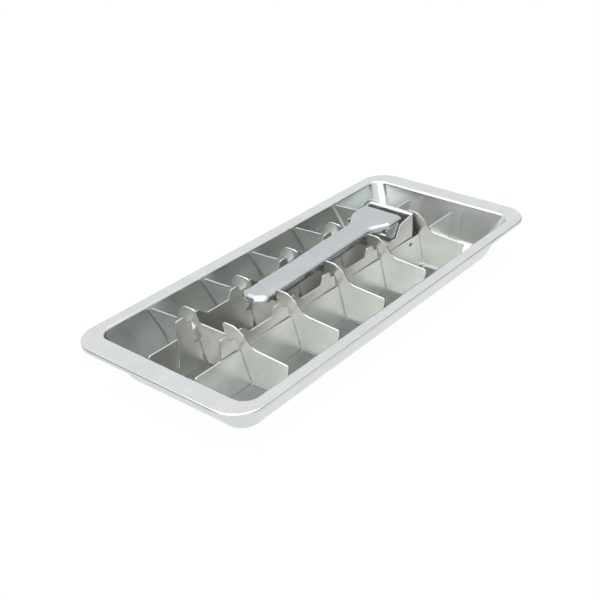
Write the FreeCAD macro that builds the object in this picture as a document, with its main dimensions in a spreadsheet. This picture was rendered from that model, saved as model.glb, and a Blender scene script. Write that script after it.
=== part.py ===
import FreeCAD, Part
import math
import os

import Sketcher

# Lever ice cube tray: a pressed pan with a loose grid in it.
# Two fixed rails carry five tilting cross dividers. A sliding U-shaped frame between the rails
# pushes the dividers upright when the lever is lifted about the pivot tube.
# Frame: X along the tray towards the pivot end, Y across it, Z up.
# Origin: middle of the pan's underside.

doc = FreeCAD.newDocument("LeverIceTray")
sheet = doc.addObject("Spreadsheet::Sheet", "Sizes")


class Value:
    """A number together with the expression that gives it in the document."""

    def __init__(self, number, text):
        self.number = number
        self.text = text

    @staticmethod
    def of(other):
        if isinstance(other, Value):
            return other
        return Value(float(other), "(%r)" % float(other))

    def join(self, other, sign, number):
        return Value(number, "(%s %s %s)" % (self.text, sign, other.text))

    def __add__(self, other):
        other = Value.of(other)
        return self.join(other, "+", self.number + other.number)

    def __sub__(self, other):
        other = Value.of(other)
        return self.join(other, "-", self.number - other.number)

    def __mul__(self, other):
        other = Value.of(other)
        return self.join(other, "*", self.number * other.number)

    def __truediv__(self, other):
        other = Value.of(other)
        return self.join(other, "/", self.number / other.number)

    def __radd__(self, other):
        return Value.of(other) + self

    def __rsub__(self, other):
        return Value.of(other) - self

    def __rmul__(self, other):
        return Value.of(other) * self

    def __neg__(self):
        return Value(-self.number, "(-1 * %s)" % self.text)


def tan(angle):
    return Value(math.tan(math.radians(angle.number)), "tan(%s)" % angle.text)


def sin(angle):
    return Value(math.sin(math.radians(angle.number)), "sin(%s)" % angle.text)


def cos(angle):
    return Value(math.cos(math.radians(angle.number)), "cos(%s)" % angle.text)


size_row = 0


def size(alias, number):
    """Write one driving size into the sheet and return it as a value."""
    global size_row
    size_row += 1
    sheet.set("A%d" % size_row, alias)
    sheet.set("B%d" % size_row, str(number))
    sheet.setAlias("B%d" % size_row, alias)
    return Value(float(number), "Sizes." + alias)


# Pan
pan_length = size("pan_length", 282.0)
pan_width = size("pan_width", 119.5)
pan_height = size("pan_height", 28.5)
pan_sheet = size("pan_sheet", 0.8)
rim_corner = size("rim_corner_radius", 17.0)
rim_lip = size("rim_lip_depth", 2.3)
rim_edge_radius = size("rim_edge_radius", 0.9)
rim_end = size("rim_width_at_ends", 13.7)
rim_side = size("rim_width_at_sides", 7.5)
opening_corner = size("opening_corner_radius", 8.0)
opening_edge_radius = size("opening_edge_radius", 1.8)
end_draft = size("end_wall_draft", 7.4)
side_draft = size("side_wall_draft", 10.0)
floor_corner = size("floor_corner_radius", 12.0)
floor_edge_radius = size("floor_edge_radius", 9.5)

# Grid in the pan
grid_shift = size("grid_shift_across", 1.5)
divider_pitch = size("divider_pitch", 42.0)
middle_divider = size("middle_divider_station", -3.7)
seat_depth = size("divider_seat_below_rim", 10.0)
rest_tilt = size("divider_rest_tilt", 17.0)
end_tilt = size("divider_end_tilt", 5.0)
run_gap = size("running_gap", 0.15)
floor_gap = size("rail_gap_to_floor", 0.1)

# Fixed rails
rail_sheet = size("rail_sheet", 0.6)
rail_inside = size("rail_inside_half_gap", 16.0)
rail_top = size("rail_top_below_rim", 3.0)
rail_tail = size("rail_end_near", 124.0)
rail_head = size("rail_end_far", 119.0)
rail_end_slope = size("rail_end_slope", 5.7)
rail_toe_length = size("rail_toe_length", 6.0)
rail_toe_height = size("rail_toe_height", 7.0)
rail_corner = size("rail_corner_radius", 1.5)

# Sliding frame
slider_sheet = size("slider_sheet", 0.6)
slider_outside = size("slider_outside_half_width", 15.7)
slider_tail = size("slider_end_near", 103.7)
slider_head = size("slider_bridge_station", 72.8)
slider_bottom = size("slider_bottom_below_rim", 20.0)
slider_edge = size("slider_edge_above_rim", 3.2)
slider_notch = size("slider_notch_above_rim", 4.5)
slider_tab = size("slider_tab_above_rim", 7.8)
slider_hump = size("slider_hump_above_rim", 8.4)
slider_lobe = size("slider_lobe_above_rim", 10.4)
bridge_top = size("bridge_top_above_rim", 12.8)
bridge_bend = size("bridge_bend_radius", 1.7)
bridge_roll = size("bridge_roll_radius", 1.4)
tab_length = size("slider_tab_length", 4.9)
tab_slope = size("slider_tab_slope_length", 6.5)
hump_start = size("slider_hump_start", 24.5)
hump_rise = size("slider_hump_rise_length", 2.0)
hump_length = size("slider_hump_length", 6.0)
hump_fall = size("slider_hump_fall_length", 1.0)
lobe_start = size("slider_lobe_start", 54.0)
lobe_rise = size("slider_lobe_rise_length", 4.0)
slider_round = size("slider_corner_radius", 1.2)

# Cross dividers
divider_sheet = size("divider_sheet", 0.7)
divider_half = size("divider_half_width", 49.3)
wing_height = size("divider_wing_height", 9.8)
wing_root = size("divider_wing_root_height", 11.6)
wing_root_at = size("divider_wing_root_half_width", 26.5)
wing_corner = size("divider_wing_corner_radius", 1.5)
side_foot_half = size("divider_foot_half_width", 42.0)
side_foot = size("divider_foot_depth", 10.4)
bottom_half = size("divider_bottom_half_width", 34.5)
divider_bottom = size("divider_bottom_depth", 17.3)
foot_round = size("divider_foot_radius", 3.0)
saddle_half = size("divider_saddle_half_width", 8.6)
saddle_height = size("divider_saddle_height", 15.0)
ear_height = size("divider_ear_height", 24.4)
ear_inner_half = size("divider_ear_inner_half_width", 9.4)
ear_outer_half = size("divider_ear_outer_half_width", 17.6)
ear_knee_half = size("divider_ear_knee_half_width", 22.6)
ear_knee_height = size("divider_ear_knee_height", 19.6)
ear_inner_round = size("divider_ear_inner_radius", 2.6)
ear_outer_round = size("divider_ear_outer_radius", 5.0)
root_round = size("divider_root_radius", 4.0)
lap_width = size("divider_lap_slot_width", 2.0)
lap_flare = size("divider_lap_flare_width", 3.0)
lap_flare_height = size("divider_lap_flare_height", 4.5)

# Pivot and lever
pivot_station = size("pivot_station", 68.8)
pivot_depth = size("pivot_depth_below_rim", 7.0)
tube_diameter = size("pivot_tube_diameter", 3.4)
tube_bore = size("pivot_tube_bore", 2.4)
tube_gap = size("pivot_gap_in_rail", 0.03)
shaft_gap = size("pivot_gap_in_lever", 0.06)
heel_gap = size("lever_heel_gap", 0.3)
lever_swing = size("lever_swing", 40.0)
lever_rake = size("lever_rake", 1.9)
lever_sheet = size("lever_sheet", 1.0)
lever_rise = size("lever_top_above_pivot", 21.8)
lever_reach = size("lever_reach", 131.8)
tip_depth = size("lever_tip_depth", 2.6)
tip_rise = size("lever_tip_rise_length", 24.0)
lever_depth = size("lever_channel_depth", 5.0)
lever_half = size("lever_half_width", 8.0)
lever_edge_radius = size("lever_edge_radius", 3.4)
lever_tip_half = size("lever_tip_half_width", 9.2)
lever_tip_blunt = size("lever_tip_blunt_half_width", 3.4)
lever_tip_corner = size("lever_tip_corner_length", 4.6)
lever_tip_length = size("lever_tip_flare_length", 11.0)
lever_tip_round = size("lever_tip_radius", 4.0)
head_half = size("lever_head_half_width", 14.5)
head_end = size("lever_head_end", 7.0)
head_relief = size("lever_head_relief_length", 4.0)
head_lip = size("lever_head_lip_depth", 1.8)
head_start = size("lever_head_start", 31.0)
head_full = size("lever_head_full", 19.0)
head_round = size("lever_head_radius", 9.0)
ear_front = size("lever_ear_front", 11.0)
ear_front_low = size("lever_ear_front_height", 12.0)
pivot_boss = size("lever_pivot_boss_radius", 2.9)
ear_back = size("lever_ear_back", 24.0)
ear_back_low = size("lever_ear_back_low", 12.0)

rim = pan_height
rest_edge = divider_sheet / cos(rest_tilt) / 2 + run_gap
end_edge = divider_sheet / cos(end_tilt) / 2 + run_gap
seat = rim - seat_depth
slot_floor = seat - run_gap * 2
stations = [middle_divider + divider_pitch * step for step in (-2, -1, 0, 1, 2)]
slider_travel = (slider_notch + seat_depth) * (tan(rest_tilt) - tan(end_tilt)) - run_gap * 0.5


def make_body(label):
    body = doc.addObject("PartDesign::Body", label)
    body.Label = label
    return body


def sketch_on(body, role, name, offset=None):
    """A sketch on one of the body's own origin planes, moved along the plane's normal."""
    sketch = body.newObject("Sketcher::SketchObject", name)
    for feature in body.Origin.OriginFeatures:
        if feature.Role == role:
            sketch.AttachmentSupport = [(feature, "")]
    sketch.MapMode = "FlatFace"
    if offset is not None:
        sketch.setExpression("AttachmentOffset.Base.z", offset.text)
        sketch.AttachmentOffset = FreeCAD.Placement(
            FreeCAD.Vector(0, 0, offset.number), FreeCAD.Rotation()
        )
    return sketch


def hold(sketch, geometry, end, across, up):
    """Bind one end of a curve to two coordinates."""
    for kind, value in (("DistanceX", across), ("DistanceY", up)):
        value = Value.of(value)
        index = sketch.addConstraint(
            Sketcher.Constraint(kind, -1, 1, geometry, end, value.number)
        )
        sketch.setExpression("Constraints[%d]" % index, value.text)


def outline(sketch, corners):
    """A closed run of straight lines whose corners are bound to values."""
    corners = [(Value.of(across), Value.of(up)) for across, up in corners]
    first = sketch.GeometryCount
    count = len(corners)
    for number in range(count):
        start = corners[number]
        end = corners[(number + 1) % count]
        sketch.addGeometry(
            Part.LineSegment(
                FreeCAD.Vector(start[0].number, start[1].number, 0),
                FreeCAD.Vector(end[0].number, end[1].number, 0),
            ),
            False,
        )
    for number in range(count):
        after = first + (number + 1) % count
        sketch.addConstraint(Sketcher.Constraint("Coincident", first + number, 2, after, 1))
    for number, (across, up) in enumerate(corners):
        hold(sketch, first + number, 1, across, up)


def disc(sketch, across, up, radius):
    """A circle bound to its centre and radius."""
    across = Value.of(across)
    up = Value.of(up)
    circle = sketch.addGeometry(
        Part.Circle(
            FreeCAD.Vector(across.number, up.number, 0), FreeCAD.Vector(0, 0, 1), radius.number
        ),
        False,
    )
    hold(sketch, circle, 3, across, up)
    index = sketch.addConstraint(Sketcher.Constraint("Radius", circle, radius.number))
    sketch.setExpression("Constraints[%d]" % index, radius.text)


def round_rectangle(sketch, half_long, half_wide, radius):
    """A centred rectangle with round corners."""
    signs = ((1, -1), (1, 1), (-1, 1), (-1, -1))
    ends = []
    for number, (sign_long, sign_wide) in enumerate(signs):
        on_long = (sign_long * half_long, sign_wide * (half_wide - radius))
        on_wide = (sign_long * (half_long - radius), sign_wide * half_wide)
        centre = (sign_long * (half_long - radius), sign_wide * (half_wide - radius))
        pair = (on_wide, on_long) if number % 2 == 0 else (on_long, on_wide)
        ends.append((pair[0], pair[1], centre, number * math.pi / 2 - math.pi / 2))
    for start, finish, centre, angle in ends:
        arc = sketch.addGeometry(
            Part.ArcOfCircle(
                Part.Circle(
                    FreeCAD.Vector(centre[0].number, centre[1].number, 0),
                    FreeCAD.Vector(0, 0, 1),
                    radius.number,
                ),
                angle,
                angle + math.pi / 2,
            ),
            False,
        )
        hold(sketch, arc, 1, *start)
        hold(sketch, arc, 2, *finish)
        index = sketch.addConstraint(Sketcher.Constraint("Radius", arc, radius.number))
        sketch.setExpression("Constraints[%d]" % index, radius.text)
    for number in range(4):
        start = ends[number][1]
        finish = ends[(number + 1) % 4][0]
        line = sketch.addGeometry(
            Part.LineSegment(
                FreeCAD.Vector(start[0].number, start[1].number, 0),
                FreeCAD.Vector(finish[0].number, finish[1].number, 0),
            ),
            False,
        )
        sketch.addConstraint(Sketcher.Constraint("Coincident", line, 1, number, 2))
        sketch.addConstraint(Sketcher.Constraint("Coincident", line, 2, (number + 1) % 4, 1))


def grow(body, sketch, length, middle=False, backwards=False):
    """Pad a sketch by a bound length."""
    pad = body.newObject("PartDesign::Pad", sketch.Name + "Pad")
    pad.Profile = sketch
    pad.Length = length.number
    pad.setExpression("Length", length.text)
    pad.Midplane = middle
    pad.Reversed = backwards
    sketch.Visibility = False
    return pad


def cut(body, sketch, length, middle=False, backwards=False):
    """Pocket a sketch by a bound length."""
    pocket = body.newObject("PartDesign::Pocket", sketch.Name + "Pocket")
    pocket.Profile = sketch
    pocket.Length = length.number
    pocket.setExpression("Length", length.text)
    pocket.Midplane = middle
    pocket.Reversed = backwards
    return pocket


def blend(body, name, radius, wanted):
    """Fillet the edges of the newest feature that the test picks out."""
    doc.recompute()
    base = body.Tip
    names = []
    for number, edge in enumerate(base.Shape.Edges):
        if wanted(edge):
            names.append("Edge%d" % (number + 1))
    fillet = body.newObject("PartDesign::Fillet", name)
    fillet.Base = (base, names)
    fillet.Radius = radius.number
    fillet.setExpression("Radius", radius.text)
    doc.recompute()
    return fillet


def straight_at(axis, spots):
    """Test for straight edges along an axis that stand on one of the given spots."""
    others = [index for index in range(3) if index != axis]
    marks = [[Value.of(part).number for part in spot] for spot in spots]

    def wanted(edge):
        low = edge.Vertexes[0].Point
        high = edge.Vertexes[-1].Point
        if len(edge.Vertexes) < 2 or abs(low[axis] - high[axis]) < 0.05:
            return False
        for mark in marks:
            near = True
            for place, other in zip(mark, others):
                if abs(low[other] - place) > 0.01 or abs(high[other] - place) > 0.01:
                    near = False
            if near:
                return True
        return False

    return wanted


# Pan: one pressed sheet with a flat rim, a turned-down lip and drafted walls.
pan = make_body("pan")
half_length = pan_length / 2
half_width = pan_width / 2
opening_length = half_length - rim_end
opening_width = half_width - rim_side
floor_length = opening_length - end_draft
floor_width = opening_width - side_draft
inner_depth = pan_height - pan_sheet
outer_floor_length = floor_length + pan_sheet - pan_sheet * end_draft / inner_depth
outer_floor_width = floor_width + pan_sheet - pan_sheet * side_draft / inner_depth

rim_sketch = sketch_on(pan, "XY_Plane", "RimOutline", rim - rim_lip)
round_rectangle(rim_sketch, half_length, half_width, rim_corner)
grow(pan, rim_sketch, rim_lip)
doc.recompute()
rim_top_edge = rim.number


def on_level(level):
    def wanted(edge):
        box = edge.BoundBox
        return abs(box.ZMin - level) < 0.01 and abs(box.ZMax - level) < 0.01
    return wanted


blend(pan, "RimEdge", rim_edge_radius, on_level(rim_top_edge))
lip_sketch = sketch_on(pan, "XY_Plane", "LipHollow", rim - rim_lip)
round_rectangle(lip_sketch, half_length - pan_sheet, half_width - pan_sheet, rim_corner - pan_sheet)
cut(pan, lip_sketch, rim_lip - pan_sheet, backwards=True)
doc.recompute()

outer_low = sketch_on(pan, "XY_Plane", "OuterFloor")
round_rectangle(outer_low, outer_floor_length, outer_floor_width, floor_corner + pan_sheet)
outer_high = sketch_on(pan, "XY_Plane", "OuterTop", rim - pan_sheet / 2)
round_rectangle(
    outer_high, opening_length + pan_sheet, opening_width + pan_sheet, opening_corner + pan_sheet
)
bowl = pan.newObject("PartDesign::AdditiveLoft", "OuterBowl")
bowl.Profile = outer_low
bowl.Sections = [outer_high]
bowl.Ruled = True
doc.recompute()

inner_low = sketch_on(pan, "XY_Plane", "InnerFloor", pan_sheet)
round_rectangle(inner_low, floor_length, floor_width, floor_corner)
inner_high = sketch_on(pan, "XY_Plane", "InnerTop", rim)
round_rectangle(inner_high, opening_length, opening_width, opening_corner)
hollow = pan.newObject("PartDesign::SubtractiveLoft", "InnerBowl")
hollow.Profile = inner_low
hollow.Sections = [inner_high]
hollow.Ruled = True
doc.recompute()
blend(pan, "InnerFloorEdge", floor_edge_radius - pan_sheet, on_level(pan_sheet.number))
blend(pan, "OuterFloorEdge", floor_edge_radius, on_level(0.0))


def on_opening(edge):
    box = edge.BoundBox
    if not on_level(rim.number)(edge):
        return False
    return box.XMax < opening_length.number + 0.1 and box.XMin > -opening_length.number - 0.1 \
        and box.YMax < opening_width.number + 0.1 and box.YMin > -opening_width.number - 0.1


blend(pan, "OpeningEdge", opening_edge_radius, on_opening)


def stand(body, across, along=None, up=None):
    """Place a body in the grid, moved across the pan with the whole grid."""
    place = FreeCAD.Vector(
        along.number if along is not None else 0.0,
        across.number,
        up.number if up is not None else 0.0,
    )
    body.Placement = FreeCAD.Placement(place, body.Placement.Rotation)
    body.setExpression("Placement.Base.y", across.text)
    if along is not None:
        body.setExpression("Placement.Base.x", along.text)
    if up is not None:
        body.setExpression("Placement.Base.z", up.text)


# Fixed rails: two upright plates. Each divider sits in a V slot open at the top, whose edges
# follow the divider at its rest tilt and at its end tilt.
rail_bottom = pan_sheet + floor_gap
rail_level = rim - rail_top
rail_shoulder = rail_bottom + rail_toe_height


def rail_outline():
    corners = [
        (-rail_tail + rail_end_slope + rail_toe_length, rail_bottom),
        (-rail_tail + rail_end_slope, rail_shoulder),
        (-rail_tail, rail_level),
    ]
    rise = rail_level - seat
    for station in stations:
        corners.append((station - rest_edge - rise * tan(rest_tilt), rail_level))
        corners.append((station - rest_edge, slot_floor))
        corners.append((station + end_edge, slot_floor))
        corners.append((station + end_edge - rise * tan(end_tilt), rail_level))
    corners.append((rail_head, rail_level))
    corners.append((rail_head - rail_end_slope, rail_shoulder))
    corners.append((rail_head - rail_end_slope - rail_toe_length, rail_bottom))
    return corners


for label, side in (("near_outer_rail", -1), ("far_outer_rail", 1)):
    rail = make_body(label)
    name = label.replace("_", "")
    middle = side * (rail_inside + rail_sheet / 2)
    rail_sketch = sketch_on(rail, "XZ_Plane", name + "Outline")
    outline(rail_sketch, rail_outline())
    disc(rail_sketch, pivot_station, rim - pivot_depth, tube_diameter / 2 + tube_gap)
    grow(rail, rail_sketch, rail_sheet, middle=True)
    blend(
        rail,
        name + "Corners",
        rail_corner,
        straight_at(1, [(-rail_tail, rail_level), (rail_head, rail_level)]),
    )
    stand(rail, grid_shift + middle)

# Sliding frame: one sheet bent into a U, two plates joined by the bridge at the pivot end.
# Each slot is narrow at the notch and widens downwards on its trailing side.
slider = make_body("slider_frame")
slider_low = rim - slider_bottom
slider_line = rim + slider_edge
notch_line = rim + slider_notch
tab_line = rim + slider_tab
hump_line = rim + slider_hump
notch_height = slider_notch + seat_depth
corners = [
    (-slider_tail, slider_low),
    (-slider_tail, hump_line),
]
rounded = [(-slider_tail, hump_line)]
first_notch = stations[0] - divider_pitch + hump_start + hump_rise + hump_length
corners.append((first_notch, hump_line))
corners.append((first_notch + hump_fall, notch_line))
rounded.append((first_notch, hump_line))
for number, station in enumerate(stations[:4]):
    lean = notch_height * tan(rest_tilt)
    corners.append((station - rest_edge - lean, notch_line))
    corners.append((station - end_edge - slider_travel, slot_floor))
    corners.append((station + rest_edge, slot_floor))
    corners.append((station + rest_edge - lean, notch_line))
    corners.append((station + rest_edge - lean, tab_line))
    tab_end = station + rest_edge - lean + tab_length
    corners.append((tab_end, tab_line))
    corners.append((tab_end + tab_slope, slider_line))
    rounded.append((station + rest_edge - lean, tab_line))
    rounded.append((tab_end, tab_line))
    if number < 3:
        corners.append((station + hump_start, slider_line))
        corners.append((station + hump_start + hump_rise, hump_line))
        hump_end = station + hump_start + hump_rise + hump_length
        corners.append((hump_end, hump_line))
        corners.append((hump_end + hump_fall, notch_line))
        rounded.append((station + hump_start + hump_rise, hump_line))
        rounded.append((hump_end, hump_line))
corners.append((lobe_start, slider_line))
corners.append((lobe_start + lobe_rise, rim + slider_lobe))
corners.append((slider_head, rim + bridge_top))
corners.append((slider_head, slider_low))
rounded.append((lobe_start + lobe_rise, rim + slider_lobe))
slider_sketch = sketch_on(slider, "XZ_Plane", "SliderOutline")
outline(slider_sketch, corners)
grow(slider, slider_sketch, slider_outside * 2, middle=True)
blend(slider, "SliderCorners", slider_round, straight_at(1, rounded))
blend(
    slider,
    "SliderBends",
    bridge_bend,
    straight_at(2, [(slider_head, -slider_outside), (slider_head, slider_outside)]),
)
hollow_sketch = sketch_on(slider, "XY_Plane", "SliderHollow")
hollow_half = slider_outside - slider_sheet
hollow_head = slider_head - slider_sheet
outline(
    hollow_sketch,
    [
        (-slider_tail * 2, -hollow_half),
        (hollow_head, -hollow_half),
        (hollow_head, hollow_half),
        (-slider_tail * 2, hollow_half),
    ],
)
cut(slider, hollow_sketch, rim * 2, backwards=True)
doc.recompute()
blend(
    slider,
    "SliderInnerBends",
    bridge_bend - slider_sheet,
    straight_at(2, [(hollow_head, -hollow_half), (hollow_head, hollow_half)]),
)
roll_sketch = sketch_on(slider, "XZ_Plane", "BridgeRoll")
disc(roll_sketch, slider_head - bridge_roll, rim + bridge_top - bridge_roll, bridge_roll)
grow(slider, roll_sketch, (hollow_half + slider_sheet / 2) * 2, middle=True)
roll_hole = sketch_on(slider, "XZ_Plane", "BridgeRollHollow")
disc(roll_hole, slider_head - bridge_roll, rim + bridge_top - bridge_roll, bridge_roll - slider_sheet)
cut(slider, roll_hole, slider_outside * 3, middle=True)
tube_window = tube_diameter / 2 + run_gap
window_sketch = sketch_on(slider, "XZ_Plane", "PivotWindow")
window_line = rim - pivot_depth
outline(
    window_sketch,
    [
        (pivot_station - slider_travel, window_line - tube_window),
        (pivot_station, window_line - tube_window),
        (pivot_station, window_line + tube_window),
        (pivot_station - slider_travel, window_line + tube_window),
    ],
)
cut(slider, window_sketch, slider_outside * 3, middle=True)
for name, along in (("WindowFront", pivot_station), ("WindowBack", pivot_station - slider_travel)):
    end_sketch = sketch_on(slider, "XZ_Plane", name)
    disc(end_sketch, along, window_line, tube_window)
    cut(slider, end_sketch, slider_outside * 3, middle=True)
stand(slider, grid_shift)

# Cross dividers: five plates alike, each hung by its two lap slots on the rails.
# Drawn upright with the seat at the body's origin, then tilted about it.
lap_middle = (rail_inside + rail_sheet + slider_outside - slider_sheet) / 2
flare = (lap_flare - lap_width) / 2
divider_half_outline = [
    (saddle_half, saddle_height),
    (ear_inner_half, ear_height),
    (ear_outer_half, ear_height),
    (ear_knee_half, ear_knee_height),
    (wing_root_at, wing_root),
    (divider_half, wing_height),
    (side_foot_half, -side_foot),
    (bottom_half, -divider_bottom),
    (lap_middle + lap_width / 2 + flare, -divider_bottom),
    (lap_middle + lap_width / 2, -divider_bottom + lap_flare_height),
    (lap_middle + lap_width / 2, 0),
    (lap_middle - lap_width / 2, 0),
    (lap_middle - lap_width / 2, -divider_bottom + lap_flare_height),
    (lap_middle - lap_width / 2 - flare, -divider_bottom),
]
for number, station in enumerate(stations):
    divider = make_body("cross_divider_%d" % (number + 1))
    name = "Divider%d" % (number + 1)
    divider_sketch = sketch_on(divider, "YZ_Plane", name + "Outline")
    other_half = [(-Value.of(across), up) for across, up in reversed(divider_half_outline)]
    outline(divider_sketch, divider_half_outline + other_half)
    grow(divider, divider_sketch, divider_sheet, middle=True)
    for suffix, radius, spot in (
        ("EarInner", ear_inner_round, (ear_inner_half, ear_height)),
        ("EarOuter", ear_outer_round, (ear_outer_half, ear_height)),
        ("Root", root_round, (wing_root_at, wing_root)),
        ("Wing", wing_corner, (divider_half, wing_height)),
        ("Foot", foot_round, (side_foot_half, -side_foot)),
        ("Toe", foot_round, (bottom_half, -divider_bottom)),
    ):
        both = [spot, (-spot[0], spot[1])]
        blend(divider, name + suffix, radius, straight_at(0, both))
    divider.Placement = FreeCAD.Placement(
        FreeCAD.Vector(), FreeCAD.Rotation(FreeCAD.Vector(0, 1, 0), -rest_tilt.number)
    )
    stand(divider, grid_shift, station, seat)
    divider.setExpression("Placement.Rotation.Axis.y", "1")
    divider.setExpression("Placement.Rotation.Angle", "-1 * " + rest_tilt.text)

# Pivot tube: the lever's hollow axle, held in the two rails.
tube = make_body("pivot_tube")
tube_sketch = sketch_on(tube, "XZ_Plane", "TubeSection")
disc(tube_sketch, pivot_station, rim - pivot_depth, tube_diameter / 2)
disc(tube_sketch, pivot_station, rim - pivot_depth, tube_bore / 2)
grow(tube, tube_sketch, (rail_inside + rail_sheet) * 2, middle=True)
stand(tube, grid_shift)

# Lever: one pressed channel that flares into a head with two ears on the pivot tube.
# Drawn level with the pivot at the body's origin, then raked about it.
lever = make_body("lever")
half_outline = [
    (-lever_reach, lever_tip_blunt),
    (-lever_reach + lever_tip_corner, lever_tip_half),
    (-lever_reach + lever_tip_length, lever_half),
    (-head_start, lever_half),
    (-head_full, head_half),
    (-head_end, head_half),
]
lever_outline = half_outline + [(along, -across) for along, across in reversed(half_outline)]
top_sketch = sketch_on(lever, "XY_Plane", "LeverOutline", lever_rise - lever_depth)
outline(top_sketch, lever_outline)
grow(lever, top_sketch, lever_depth)
for name, radius, spots in (
    ("TipRound", lever_tip_round, half_outline[:2]),
    ("NeckRound", head_round, [half_outline[3]]),
    ("HeadRound", head_round / 2, [half_outline[4]]),
):
    both = spots + [(along, -across) for along, across in spots]
    blend(lever, name, radius, straight_at(2, both))


def on_lever_top(edge):
    box = edge.BoundBox
    end_edge_box = box.XMin > -head_end.number - 0.01
    return on_level(lever_rise.number)(edge) and not end_edge_box


blend(lever, "LeverTopEdge", lever_edge_radius, on_lever_top)
base = lever.Tip
faces = []
for number, face in enumerate(base.Shape.Faces):
    box = face.BoundBox
    low = lever_rise.number - lever_depth.number
    is_bottom = abs(box.ZMin - low) < 0.01 and abs(box.ZMax - low) < 0.01
    is_end = box.XMin > -head_end.number - 0.01
    if is_bottom or is_end:
        faces.append("Face%d" % (number + 1))
shell = lever.newObject("PartDesign::Thickness", "LeverSheet")
shell.Base = (base, faces)
shell.Value = lever_sheet.number
shell.setExpression("Value", lever_sheet.text)
shell.Reversed = True
shell.Mode = 0
shell.Join = 0
doc.recompute()

# The ears' heels are round and set off-centre, so that the bridge is pushed evenly as they turn.
cam_throw = slider_travel / (2 * sin(lever_swing / 2))
cam_angle = lever_swing / 2 - lever_rake
heel_along = -cam_throw * sin(cam_angle)
heel_up = cam_throw * cos(cam_angle)
heel_radius = hollow_head - pivot_station + cam_throw * sin(lever_swing / 2) - heel_gap
for name, side in (("EarNear", 1), ("EarFar", -1)):
    inner = side * (head_half - lever_sheet)
    ear_sketch = sketch_on(lever, "XZ_Plane", name, inner)
    outline(
        ear_sketch,
        [
            (-ear_front, ear_front_low),
            (-ear_front, lever_rise - lever_edge_radius),
            (-ear_back, lever_rise - lever_edge_radius),
            (-ear_back, lever_rise - lever_depth),
            (-ear_back_low, heel_up),
            (-pivot_boss * 0.7, -pivot_boss * 0.7),
            (pivot_boss * 0.7, heel_up),
        ],
    )
    grow(lever, ear_sketch, lever_sheet, backwards=side < 0)
    heel_sketch = sketch_on(lever, "XZ_Plane", name + "Heel", inner)
    disc(heel_sketch, heel_along, heel_up, heel_radius)
    grow(lever, heel_sketch, lever_sheet, backwards=side < 0)
    boss_sketch = sketch_on(lever, "XZ_Plane", name + "Boss", inner)
    disc(boss_sketch, 0, 0, pivot_boss)
    grow(lever, boss_sketch, lever_sheet, backwards=side < 0)
relief_sketch = sketch_on(lever, "XZ_Plane", "HeadRelief")
outline(
    relief_sketch,
    [
        (-head_end - head_relief, ear_front_low),
        (-head_end + lever_sheet, ear_front_low),
        (-head_end + lever_sheet, lever_rise - head_lip),
        (-head_end - head_relief, lever_rise - head_lip),
    ],
)
cut(lever, relief_sketch, head_half * 3, middle=True)
tip_sketch = sketch_on(lever, "XZ_Plane", "TipRise")
outline(
    tip_sketch,
    [
        (-lever_reach - lever_sheet, lever_rise - lever_depth * 2),
        (-lever_reach + tip_rise, lever_rise - lever_depth * 2),
        (-lever_reach + tip_rise, lever_rise - lever_depth),
        (-lever_reach - lever_sheet, lever_rise - tip_depth),
    ],
)
cut(lever, tip_sketch, head_half * 3, middle=True)
bore_sketch = sketch_on(lever, "XZ_Plane", "PivotBore")
disc(bore_sketch, 0, 0, tube_diameter / 2 + shaft_gap)
cut(lever, bore_sketch, head_half * 3, middle=True)
lever.Placement = FreeCAD.Placement(
    FreeCAD.Vector(), FreeCAD.Rotation(FreeCAD.Vector(0, 1, 0), -lever_rake.number)
)
stand(lever, grid_shift, pivot_station, rim - pivot_depth)
lever.setExpression("Placement.Rotation.Axis.y", "1")
lever.setExpression("Placement.Rotation.Angle", "-1 * " + lever_rake.text)

doc.recompute()

# Every feature must have been made, and every piece must be one sound solid.
for item in doc.Objects:
    if "Invalid" in item.State or "Error" in item.State:
        raise RuntimeError("not made: " + item.Label)
pieces = [item for item in doc.Objects if item.TypeId == "PartDesign::Body"]
for piece in pieces:
    if piece.Shape.isNull() or not piece.Shape.isValid() or len(piece.Shape.Solids) != 1:
        raise RuntimeError("not a sound solid: " + piece.Label)

os.makedirs("parts", exist_ok=True)
for piece in pieces:
    piece.Shape.exportStep(os.path.join("parts", piece.Label + ".step"))
    box = piece.Shape.BoundBox
    print(
        "%-18s volume %8.0f  x %7.1f %7.1f  y %6.1f %6.1f  z %5.1f %5.1f"
        % (piece.Label, piece.Shape.Volume, box.XMin, box.XMax, box.YMin, box.YMax, box.ZMin, box.ZMax)
    )
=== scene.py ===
import bpy
from mathutils import Matrix, Vector

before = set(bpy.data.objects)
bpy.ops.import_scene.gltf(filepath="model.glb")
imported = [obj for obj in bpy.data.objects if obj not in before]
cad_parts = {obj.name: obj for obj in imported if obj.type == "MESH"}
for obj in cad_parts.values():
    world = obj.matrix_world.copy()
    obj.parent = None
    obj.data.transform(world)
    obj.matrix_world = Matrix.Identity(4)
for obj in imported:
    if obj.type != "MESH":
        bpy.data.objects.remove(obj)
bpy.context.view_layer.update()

# Lengths are in metres, lamp powers in watts, colours as they look on screen.
CLOUD_SCALE = 46.0
MARK_SCALE = 130.0
ROUGHNESS_SPREAD = 0.07
BUMP_HEIGHT = 0.0006
GRAIN_ALONG = (60.0, 1600.0, 1600.0)
GRAIN_ACROSS = (1600.0, 60.0, 1600.0)

WHITE = (1.0, 1.0, 1.0, 1.0)
ORIGIN = (0.0, 0.0, 0.0)

FLOOR_SIZE = 9.0
FLOOR_LEVEL = -0.0002
FLOOR_COLOUR = (0.9, 0.9, 0.9, 1.0)
FLOOR_WHITE_SHARE = 0.975

FILL_COLOUR = (0.80, 0.82, 0.84, 1.0)
FILL_STRENGTH = 0.75

FLAG_TARGET = (0.0, 0.0, 0.03)
FLAG_SHADE = 0.10

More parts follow.
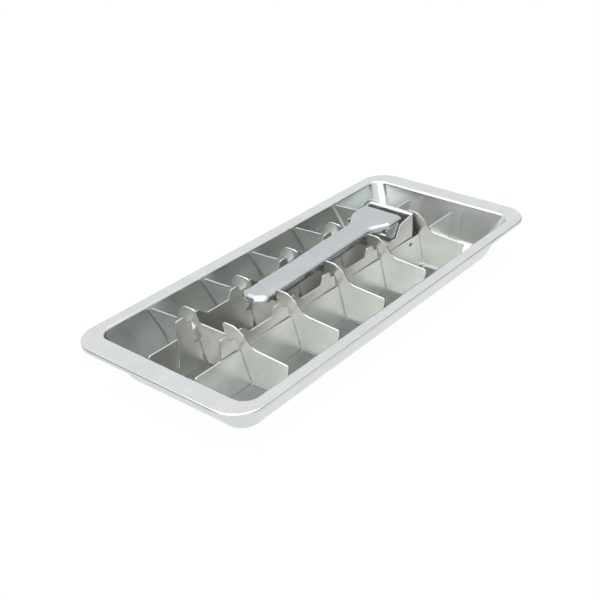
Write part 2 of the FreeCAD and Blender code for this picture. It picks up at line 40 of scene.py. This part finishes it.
CAMERA_PLACE = (-0.40919, -0.31603, 0.30205)
CAMERA_RIGHT = (0.6234, -0.7817, -0.0210)
CAMERA_FORWARD = (0.6734, 0.5503, -0.4936)
CAMERA_LENS = 60.55
CAMERA_SENSOR = 36.0


def colour(red, green, blue):
    """A colour given as it looks on screen, turned into the linear values of the shader."""
    linear = []
    for part in (red, green, blue):
        part = part / 255.0
        linear.append(part / 12.92 if part <= 0.04045 else ((part + 0.055) / 1.055) ** 2.4)
    return (linear[0], linear[1], linear[2], 1.0)


def steel(name, light, warm, rough, grain, speckle, bump):
    """Satin stainless sheet: rolled grain, cloudy tint and handling marks."""
    material = bpy.data.materials.new(name)
    material.use_nodes = True
    nodes = material.node_tree.nodes
    links = material.node_tree.links
    shader = nodes["Principled BSDF"]
    shader.inputs["Metallic"].default_value = 1.0

    place = nodes.new("ShaderNodeTexCoord")

    # Cloudy tint between the two colours.
    clouds = nodes.new("ShaderNodeTexNoise")
    clouds.inputs["Scale"].default_value = CLOUD_SCALE
    clouds.inputs["Detail"].default_value = 4.0
    clouds.inputs["Roughness"].default_value = 0.55
    clouds.inputs["Distortion"].default_value = 0.8
    links.new(place.outputs["Object"], clouds.inputs["Vector"])
    tint = nodes.new("ShaderNodeValToRGB")
    tint.color_ramp.elements[0].position = 0.36
    tint.color_ramp.elements[0].color = warm
    tint.color_ramp.elements[1].position = 0.66
    tint.color_ramp.elements[1].color = light
    links.new(clouds.outputs["Fac"], tint.inputs["Fac"])

    # Rolled grain: fine streaks that shade the tint a little.
    stretch = nodes.new("ShaderNodeMapping")
    stretch.inputs["Scale"].default_value = grain
    links.new(place.outputs["Object"], stretch.inputs["Vector"])
    streaks = nodes.new("ShaderNodeTexNoise")
    streaks.inputs["Scale"].default_value = 1.0
    streaks.inputs["Detail"].default_value = 3.0
    links.new(stretch.outputs["Vector"], streaks.inputs["Vector"])
    shade = nodes.new("ShaderNodeMapRange")
    shade.inputs["From Min"].default_value = 0.3
    shade.inputs["From Max"].default_value = 0.7
    shade.inputs["To Min"].default_value = 0.96
    shade.inputs["To Max"].default_value = 1.02
    links.new(streaks.outputs["Fac"], shade.inputs["Value"])
    streaked = nodes.new("ShaderNodeVectorMath")
    streaked.operation = "SCALE"
    links.new(tint.outputs["Color"], streaked.inputs[0])
    links.new(shade.outputs["Result"], streaked.inputs["Scale"])
    links.new(streaked.outputs["Vector"], shader.inputs["Base Color"])

    # Handling marks: patches a little duller or brighter.
    marks = nodes.new("ShaderNodeTexNoise")
    marks.inputs["Scale"].default_value = MARK_SCALE
    marks.inputs["Detail"].default_value = 5.0
    marks.inputs["Roughness"].default_value = 0.7
    links.new(place.outputs["Object"], marks.inputs["Vector"])
    gloss = nodes.new("ShaderNodeMapRange")
    gloss.inputs["From Min"].default_value = 0.25
    gloss.inputs["From Max"].default_value = 0.75
    gloss.inputs["To Min"].default_value = rough - ROUGHNESS_SPREAD * speckle
    gloss.inputs["To Max"].default_value = rough + ROUGHNESS_SPREAD * speckle
    links.new(marks.outputs["Fac"], gloss.inputs["Value"])
    links.new(gloss.outputs["Result"], shader.inputs["Roughness"])

    relief = nodes.new("ShaderNodeMath")
    relief.operation = "ADD"
    links.new(streaks.outputs["Fac"], relief.inputs[0])
    links.new(clouds.outputs["Fac"], relief.inputs[1])
    lift = nodes.new("ShaderNodeBump")
    lift.inputs["Strength"].default_value = bump
    lift.inputs["Distance"].default_value = BUMP_HEIGHT
    links.new(relief.outputs["Value"], lift.inputs["Height"])
    links.new(lift.outputs["Normal"], shader.inputs["Normal"])
    return material


pan_steel = steel(
    "pan_steel_satin",
    colour(216, 220, 221), colour(211, 215, 214), 0.22, GRAIN_ALONG, speckle=0.6, bump=0.05,
)
# The rail steel is set lighter than the divider steel: painted light for the cells it lines.
rail_painted_light_steel = steel(
    "rail_satin_painted_light",
    colour(236, 237, 233), colour(229, 230, 225), 0.34, GRAIN_ALONG, speckle=1.0, bump=0.06,
)
# The divider steel is set darker than the rail steel: painted shade of the cells the dividers
# stand in.
divider_painted_shade_steel = steel(
    "divider_satin_painted_shade",
    colour(207, 208, 204), colour(199, 200, 195), 0.34, GRAIN_ACROSS, speckle=1.0, bump=0.06,
)
lever_steel = steel(
    "lever_steel_satin",
    colour(191, 197, 199), colour(185, 191, 193), 0.28, GRAIN_ALONG, speckle=0.6, bump=0.03,
)

# The rails, the slider and the pivot tube share one steel.
looks = {"pan": pan_steel, "lever": lever_steel}
for name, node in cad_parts.items():
    if name.startswith("cross_divider"):
        chosen = divider_painted_shade_steel
    else:
        chosen = looks.get(name, rail_painted_light_steel)
    for slot in node.material_slots:
        slot.material = chosen
    if not node.material_slots:
        node.data.materials.append(chosen)


def seen_white(tree, share):
    """The share of plain white for camera, mirrored and clear rays, and none for the others."""
    nodes = tree.nodes
    links = tree.links
    path = nodes.new("ShaderNodeLightPath")
    both = nodes.new("ShaderNodeMath")
    both.operation = "MAXIMUM"
    links.new(path.outputs["Is Camera Ray"], both.inputs[0])
    links.new(path.outputs["Is Glossy Ray"], both.inputs[1])
    all_three = nodes.new("ShaderNodeMath")
    all_three.operation = "MAXIMUM"
    links.new(both.outputs["Value"], all_three.inputs[0])
    links.new(path.outputs["Is Transmission Ray"], all_three.inputs[1])
    part = nodes.new("ShaderNodeMath")
    part.operation = "MULTIPLY"
    part.inputs[1].default_value = share
    links.new(all_three.outputs["Value"], part.inputs[0])
    return part.outputs["Value"]


def matt(shader, base, roughness):
    """A plain surface without any sheen."""
    shader.inputs["Base Color"].default_value = base
    shader.inputs["Roughness"].default_value = roughness
    shader.inputs["Specular IOR Level"].default_value = 0.0


# Floor: pale, white to the camera, with the object's shadow kept in its diffuse share.
bpy.ops.mesh.primitive_plane_add(size=FLOOR_SIZE, location=(0.0, 0.0, FLOOR_LEVEL))
floor = bpy.context.object
floor.name = "studio_floor"
paper = bpy.data.materials.new("floor_paper")
paper.use_nodes = True
paper_nodes = paper.node_tree.nodes
paper_links = paper.node_tree.links
paper_shader = paper_nodes["Principled BSDF"]
matt(paper_shader, FLOOR_COLOUR, 0.9)
white = paper_nodes.new("ShaderNodeEmission")
white.inputs["Color"].default_value = WHITE
white.inputs["Strength"].default_value = 1.0
blend = paper_nodes.new("ShaderNodeMixShader")
paper_links.new(seen_white(paper.node_tree, FLOOR_WHITE_SHARE), blend.inputs["Fac"])
paper_links.new(paper_shader.outputs["BSDF"], blend.inputs[1])
paper_links.new(white.outputs["Emission"], blend.inputs[2])
paper_links.new(blend.outputs["Shader"], paper_nodes["Material Output"].inputs["Surface"])
floor.data.materials.append(paper)

# World: soft grey fill, plain white where it is seen directly or mirrored.
world = bpy.data.worlds.new("studio_world")
bpy.context.scene.world = world
world.use_nodes = True
world_nodes = world.node_tree.nodes
world_links = world.node_tree.links
fill = world_nodes["Background"]
fill.inputs["Color"].default_value = FILL_COLOUR
fill.inputs["Strength"].default_value = FILL_STRENGTH
seen = world_nodes.new("ShaderNodeBackground")
seen.inputs["Color"].default_value = WHITE
seen.inputs["Strength"].default_value = 1.0
choose = world_nodes.new("ShaderNodeMixShader")
world_links.new(seen_white(world.node_tree, 1.0), choose.inputs["Fac"])
world_links.new(fill.outputs["Background"], choose.inputs[1])
world_links.new(seen.outputs["Background"], choose.inputs[2])
world_links.new(choose.outputs["Shader"], world_nodes["World Output"].inputs["Surface"])


def lamp(name, place, width, height, power):
    """A soft rectangular lamp aimed at the middle of the pan."""
    light = bpy.data.lights.new(name, "AREA")
    light.shape = "RECTANGLE"
    light.size = width
    light.size_y = height
    light.energy = power
    holder = bpy.data.objects.new(name, light)
    bpy.context.scene.collection.objects.link(holder)
    holder.location = place
    aim = Vector(ORIGIN) - Vector(place)
    holder.rotation_euler = aim.to_track_quat("-Z", "Y").to_euler()


lamp("top_softbox", (-0.1, 0.0, 1.6), width=2.2, height=1.8, power=22.0)
lamp("left_softbox", (-1.2, -0.4, 1.1), width=1.2, height=1.0, power=8.0)


def flag(name, place, width, height):
    """A dark matt card that is only seen mirrored in the metal."""
    bpy.ops.mesh.primitive_plane_add(size=1.0, location=place)
    card = bpy.context.object
    card.name = name
    card.scale = (width, height, 1.0)
    aim = Vector(FLAG_TARGET) - Vector(place)
    card.rotation_euler = aim.to_track_quat("Z", "Y").to_euler()
    cloth = bpy.data.materials.new(name + "_matt")
    cloth.use_nodes = True
    dark = (FLAG_SHADE, FLAG_SHADE, FLAG_SHADE * 1.05, 1.0)
    matt(cloth.node_tree.nodes["Principled BSDF"], dark, 1.0)
    card.data.materials.append(cloth)
    card.visible_camera = False
    card.visible_diffuse = False
    card.visible_shadow = False


# The near flag draws the thin dark line along the rim's rounded long edge,
# the left one draws it along the short edge.
flag("near_flag", (0.62, -0.66, 0.18), width=1.9, height=0.32)
flag("left_flag", (-0.85, 0.60, 0.30), width=1.0, height=0.50)

# Camera at the photograph's angle.
camera_data = bpy.data.cameras.new("photo_camera")
camera_data.sensor_width = CAMERA_SENSOR
camera_data.lens = CAMERA_LENS
camera_data.clip_start = 0.01
camera_data.clip_end = 50.0
camera = bpy.data.objects.new("photo_camera", camera_data)
bpy.context.scene.collection.objects.link(camera)
right = Vector(CAMERA_RIGHT).normalized()
forward = Vector(CAMERA_FORWARD).normalized()
up = right.cross(forward).normalized()
right = forward.cross(up).normalized()
turn = Matrix((right, up, -forward)).transposed()
camera.matrix_world = Matrix.Translation(CAMERA_PLACE) @ turn.to_4x4()
bpy.context.scene.camera = camera

bpy.context.scene.view_settings.view_transform = "Standard"
